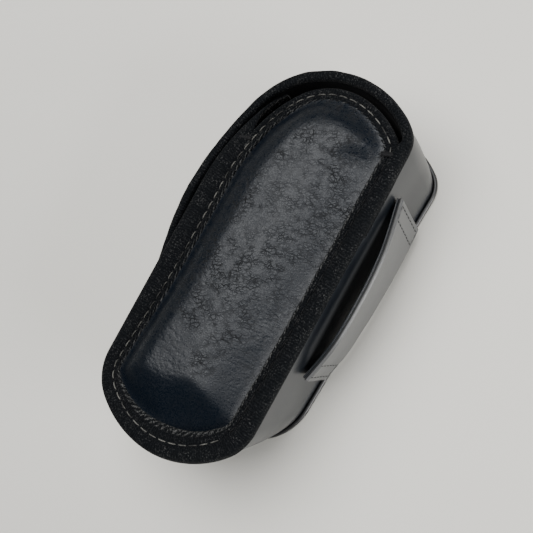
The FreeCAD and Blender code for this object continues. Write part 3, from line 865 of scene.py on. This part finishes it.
def make_rim_tape():
    """Rolled tape over the wall's free edge. Both ends sink under the tape of the front."""
    head = wall_line(1.0)
    start, end = 0.70, 4.62
    chosen = np.where((wall_at >= start) & (wall_at <= end))[0]
    line = head[chosen]
    out = flat_normals(head, True)[chosen]
    at = wall_at[chosen]
    sink = 1.6 * (1.0 - smooth_step((end - at) / 0.35)) + 1.2 * (1.0 - smooth_step((at - start) / 0.4))
    angle = np.linspace(-0.5 * math.pi, 1.5 * math.pi, 22, endpoint=False)[:, None]
    half = 1.55 - 0.25 * (1.0 - smooth_step((end - at) / 0.35))
    offsets = -0.62 + half * np.sign(np.cos(angle)) * np.abs(np.cos(angle)) ** 0.8
    levels = 29.0 - sink + 1.75 * np.sign(np.sin(angle)) * np.abs(np.sin(angle)) ** 0.85
    wave = 0.12 * lumps(np.column_stack([line, 0 * at]), (0.25, 0.25, 1.0), 14)
    thing = sweep("rim_tape", line, out, offsets + wave, levels + 0.5 * wave, False, begin=3.0)
    return close_ends(thing, len(angle))


def make_piping():
    angle = np.linspace(0.0, 2 * math.pi, 14, endpoint=False)[:, None]
    offsets = 0.68 + 0.72 * np.cos(angle)
    levels = 0.92 + 0.74 * np.sin(angle) + 0.0 * wall_at
    return sweep("back_cord", back_line, back_out, offsets, levels, True)


def plate_object(name, inset, low, high, edge, dents):
    """Flat sheet with rounded edges inside the back outline."""
    rows = np.array([0.0, 0.25, 0.7, 1.0, 1.0, 0.7, 0.25, 0.0])
    side = edge * (1.0 - rows) ** 2
    levels = [low, low, low + 0.15 * (high - low), low + 0.4 * (high - low),
              low + 0.6 * (high - low), high - 0.15 * (high - low), high, high]
    rings = []
    for out, level in zip(side, levels):
        flat = back_line - back_out * (inset + out)
        rings.append(np.column_stack([flat, np.full(len(flat), level)]))
    centre = np.array([0.0, 1.5])
    for share in np.linspace(0.93, 0.03, 28):
        flat = centre + (rings[7][:, :2] - centre) * share
        solid = np.column_stack([flat, np.zeros(len(flat))])
        sunk = dents * (lumps(solid, (0.05, 0.05, 1.0), 21) - 0.6)
        level = high + sunk * smooth_step(1.2 * (1 - share))
        rings.append(np.column_stack([flat, level]))
    lower = []
    for share in np.linspace(0.03, 0.93, 28):
        flat = centre + (rings[0][:, :2] - centre) * share
        lower.append(np.column_stack([flat, np.full(len(flat), low)]))
    return grid_object(name, np.stack(lower + rings), True, True)


def make_front_lining():
    """Cloth under the front."""
    columns, rows = 40, 90
    flat = front_patch(np.full(len(front_at), 4.2), columns, rows)
    solid = np.concatenate([flat, np.zeros((rows, columns, 1))], axis=2).reshape(-1, 3)
    ripple = 0.12 * lumps(solid, (0.12, 0.12, 1.0), 23).reshape(rows, columns)
    top = raised(flat, WALL_HEAD - 0.02)
    return closed_sheet("front_cloth", top, raised(flat, WALL_HEAD - 0.75 + ripple))


# ---- the belt loop ----

LOOP_TOP, LOOP_BOTTOM, LOOP_HIGH = 34.0, -26.0, 23.0
# The ends of the visible strap are slanted: where each lies on the edge next to the front, and how
# far it shifts by the edge next to the back.
STRAP_FOOT = -22.4
STRAP_FOOT_SLANT = 2.2
STRAP_HEAD_OVER = 2.2
STRAP_HEAD_SLANT = 3.8


def loop_bow(y, height=LOOP_HIGH):
    """How far out the strap's outer face stands. It bows from end to end, and its lower edge is
    held nearer to the wall below the middle."""
    bow = 30.3 + 3.6 * np.clip(1.0 - ((y - 5.0) / 30.5) ** 2, -0.2, 1.0)
    tuck = np.interp(y, (-24.0, -14.0, -3.0, 8.0, 20.0, 34.0), (1.3, 1.8, 2.1, 1.9, 1.0, 0.0))
    down = (LOOP_HIGH - height) / (LOOP_HIGH - 4.0)
    upper_end = 1.0 * smooth_step((y - 18.0) / 16.0)
    return bow - tuck * down ** 1.3 - 0.9 * smooth_step((-y - 8.0) / 16.0) + (upper_end * (down - 0.5))


def loop_low(y):
    """Lower edge of the strap: it narrows a little towards its lower end."""
    return 4.0 + 3.0 * (LOOP_TOP - y) / (LOOP_TOP - LOOP_BOTTOM)


def loop_high(y):
    """Upper edge of the strap, which dips at its lower end."""
    return LOOP_HIGH - 2.0 * smooth_step((6.0 - y) / 30.0)


def groove(distance, width):
    return np.exp(-(distance / width) ** 2)


def strap_ends(part):
    """Where the strap's two ends lie on a line at a share of its width: both ends are slanted."""
    down = 1.0 - part
    foot = STRAP_FOOT + STRAP_FOOT_SLANT * down
    return foot, LOOP_TOP + STRAP_HEAD_OVER - STRAP_HEAD_SLANT * down ** 0.8


def box_lines(from_end, height, width):
    """How deep the pressed box line is, by distance from the strap's end and from its low edge."""
    inside = (from_end > 1.0) & (from_end < 5.9)
    between_edges = (height > 1.0) & (height < width - 1.0)
    depth = np.zeros_like(from_end)
    for level in (1.3, 5.6):
        depth = np.maximum(depth, groove(from_end - level, 0.28) * between_edges)
    for edge in (1.3, width - 1.3):
        depth = np.maximum(depth, groove(height - edge, 0.28) * inside)
    return depth


def strap_point(y, level, depth):
    """A point below the strap's outer face, square to its bow."""
    face = loop_bow(y, level)
    slope = (loop_bow(y + 0.1, level) - loop_bow(y - 0.1, level)) / 0.2
    long = np.sqrt(1.0 + slope ** 2)
    return np.stack([face - depth / long, y + depth * slope / long, level + 0.0 * y], axis=-1)


def strap_layer(name, outer, inner, grow):
    """One layer of the strap, between two depths below its outer face."""
    columns = 280
    share = np.linspace(0.0, 1.0, columns)
    up = np.concatenate([[0.0, 0.012, 0.03], np.linspace(0.05, 0.90, 60), np.linspace(0.91, 0.972, 16),
                         [0.98, 0.99, 1.0]])
    rounding = np.concatenate([[0.5, 0.16, 0.03], np.zeros(76), [0.03, 0.16, 0.5]])
    points = []
    for side, order in ((0.0, range(len(up))), (1.0, range(len(up) - 1, -1, -1))):
        for number in order:
            part = up[number]
            first, last = strap_ends(part)
            y = first - grow + share * (last - first + 2 * grow)
            low = loop_low(y) - grow
            width = loop_high(y) + grow - low
            depth = abs(side - rounding[number])
            drop = outer + depth * (inner - outer) + 0.0 * y
            if outer == 0.0 and side == 0.0:
                drop += 0.22 * box_lines(y - first, part * width, width)
                drop += 0.22 * box_lines(last - y, part * width, width)
                drop += 0.34 * groove((1.0 - part) * width - 0.55, 0.20)
            points.append(strap_point(y, low + part * width, drop))
    thing = grid_object(name, np.stack(points), True, False, along=share * 60.0)
    return close_ends(thing, len(points))


def loop_stitches(name, upper):
    """Short black stitches in the pressed box line of one end of the strap."""
    corners = []
    for part, from_end in ((0.07, 1.3), (0.93, 1.3), (0.93, 5.6), (0.07, 5.6)):
        first, last = strap_ends(part)
        y = last - from_end if upper else first + from_end
        corners.append(np.array([y, loop_low(y) + part * (loop_high(y) - loop_low(y))]))
    tubes = []
    for first, second in zip(corners, corners[1:] + corners[:1]):
        count = max(1, int(np.linalg.norm(second - first) / 1.9))
        for number in range(count):
            share = (number + np.linspace(0.12, 0.88, 7)) / count
            flat = first + share[:, None] * (second - first)
            lift = np.sin(math.pi * np.linspace(0.0, 1.0, 7)) ** 0.6
            line = strap_point(flat[:, 0], flat[:, 1], 0.33 - 0.12 * lift)
            tubes.append(tube(line, 0.13 + 0.04 * lift, 6))
    return joined_tubes(name, tubes)


# ---- assembly ----

STITCH_PITCH = 3.5
STITCH_LENGTH = 2.6


def build_front():
    leather = finish_piece(make_front_leather(), "front_leather", "front_panel_lower",
                           "front_panel_flap", "front_padding_lower", "front_padding_flap")
    bend_with_front(leather)
    tape = finish_piece(make_front_tape(), "tape", "front_binding_flap")
    bend_with_front(tape)
    lining = finish_piece(make_front_lining(), "lining_cloth", "front_lining_lower",
                          "front_lining_flap")
    bend_with_front(lining)
    pale = stitches("front_stitches", stitch_path(MOUTH_RIGHT + 0.1, 7.35, 31.12), STITCH_PITCH,
                    STITCH_LENGTH, 0.19, 0.40)
    finish_piece(pale, "pale_thread", "front_thread_lower", "front_thread_flap")
    bend_with_front(pale)
    dark = stitches("side_stitches", stitch_path(7.45, MOUTH_RIGHT - 0.05, 31.02), STITCH_PITCH,
                    STITCH_LENGTH, 0.18, 0.4)
    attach(finish_piece(dark, "black_thread"), "pouch")
    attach(finish_piece(make_side_tape(), "tape", "front_binding_lower"), "pouch")
    for side, end in (("left", -1), ("right", 1)):
        name = "bar_tack_" + side
        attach(finish_piece(bar_tack(name + "_thread", end), "black_thread", name), "pouch")


def build_body():
    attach(finish_piece(make_wall(), "body_leather", "gusset"), "pouch")
    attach(finish_piece(make_wall_lining(), "lining_cloth", "gusset_lining"), "pouch")
    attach(finish_piece(make_rim_tape(), "tape", "rim_binding"), "pouch")
    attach(finish_piece(make_piping(), "piping", "back_piping"), "pouch")
    back = plate_object("back_leather", 0.0, 0.0, BACK_TOP, 0.5, 0.0)
    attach(finish_piece(back, "body_leather", "back_panel"), "pouch")
    cloth_sheet = plate_object("back_cloth", 2.3, 2.42, 3.2, 0.3, 0.12)
    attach(finish_piece(cloth_sheet, "lining_cloth", "back_lining"), "pouch")
    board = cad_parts["back_board"]
    board.data.materials.clear()
    board.data.materials.append(MATERIALS["board"])


def build_loop():
    face = strap_layer("belt_loop_leather", 0.0, 1.2, 0.0)
    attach(finish_piece(face, "loop_leather", "belt_loop"), "pouch")
    inner = strap_layer("belt_loop_cloth", 1.22, 2.0, -0.15)
    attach(finish_piece(inner, "body_leather", "belt_loop_lining"), "pouch")
    upper = loop_stitches("loop_stitches_upper", True)
    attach(finish_piece(upper, "black_thread", "belt_loop_stitches_upper"), "pouch")
    lower = loop_stitches("loop_stitches_lower", False)
    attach(finish_piece(lower, "black_thread", "belt_loop_stitches_lower"), "pouch")


# ---- camera, floor and light ----

CAMERA_TURN = 28.5
CAMERA_ROLL = 28.87
CAMERA_AIM = (6.18, 0.74, 31.0)
CAMERA_DISTANCE = 0.240
CAMERA_LENS = 56.47
FLOOR_HALF = 1500.0
FLOOR_LEVEL = -0.05


def make_camera():
    """Looks down on the front from the belt loop's side, and is rolled."""
    turn, roll = math.radians(CAMERA_TURN), math.radians(CAMERA_ROLL)
    back = Vector((math.sin(turn), 0.0, math.cos(turn)))
    level = Vector((math.cos(turn), 0.0, -math.sin(turn)))
    along = Vector((0.0, 1.0, 0.0))
    right = math.cos(roll) * level + math.sin(roll) * along
    up = -math.sin(roll) * level + math.cos(roll) * along
    place = Vector(CAMERA_AIM) * MM + back * CAMERA_DISTANCE
    data = bpy.data.cameras.new("camera")
    data.sensor_width = 36.0
    data.lens = CAMERA_LENS
    data.clip_start = 0.005
    camera = bpy.data.objects.new("camera", data)
    camera.matrix_world = Matrix((
        (right.x, up.x, back.x, place.x),
        (right.y, up.y, back.y, place.y),
        (right.z, up.z, back.z, place.z),
        (0.0, 0.0, 0.0, 1.0)))
    bpy.context.scene.collection.objects.link(camera)
    bpy.context.scene.camera = camera


def make_floor():
    share = np.linspace(-FLOOR_HALF, FLOOR_HALF, 9)
    x, y = np.meshgrid(share, share)
    floor = grid_object("floor", np.stack([x, y, np.full_like(x, FLOOR_LEVEL)], axis=2))
    floor.data.materials.append(table_top())


def area_light(name, place, target, width, height, power, colour=(1.0, 1.0, 1.0)):
    data = bpy.data.lights.new(name, "AREA")
    data.shape = "RECTANGLE"
    data.size, data.size_y = width, height
    data.energy = power
    data.color = colour
    light = bpy.data.objects.new(name, data)
    light.location = place
    aim = Vector(target) - Vector(place)
    light.rotation_euler = aim.to_track_quat("-Z", "Y").to_euler()
    bpy.context.scene.collection.objects.link(light)
    return light


def make_light():
    world = bpy.data.worlds.new("room")
    bpy.context.scene.world = world
    world.use_nodes = True
    world.node_tree.nodes["Background"].inputs["Color"].default_value = (0.75, 0.87, 1.0, 1.0)
    world.node_tree.nodes["Background"].inputs["Strength"].default_value = 0.05
    area_light("key", (-0.11, 0.14, 0.58), (-0.03, 0.06, 0.02), 0.70, 0.62, 6.6)
    area_light("side", (0.55, 0.0, 0.16), (0.04, 0.0, 0.0), 0.30, 0.24, 3.5)


build_front()
build_body()
build_loop()
make_floor()
make_light()
make_camera()
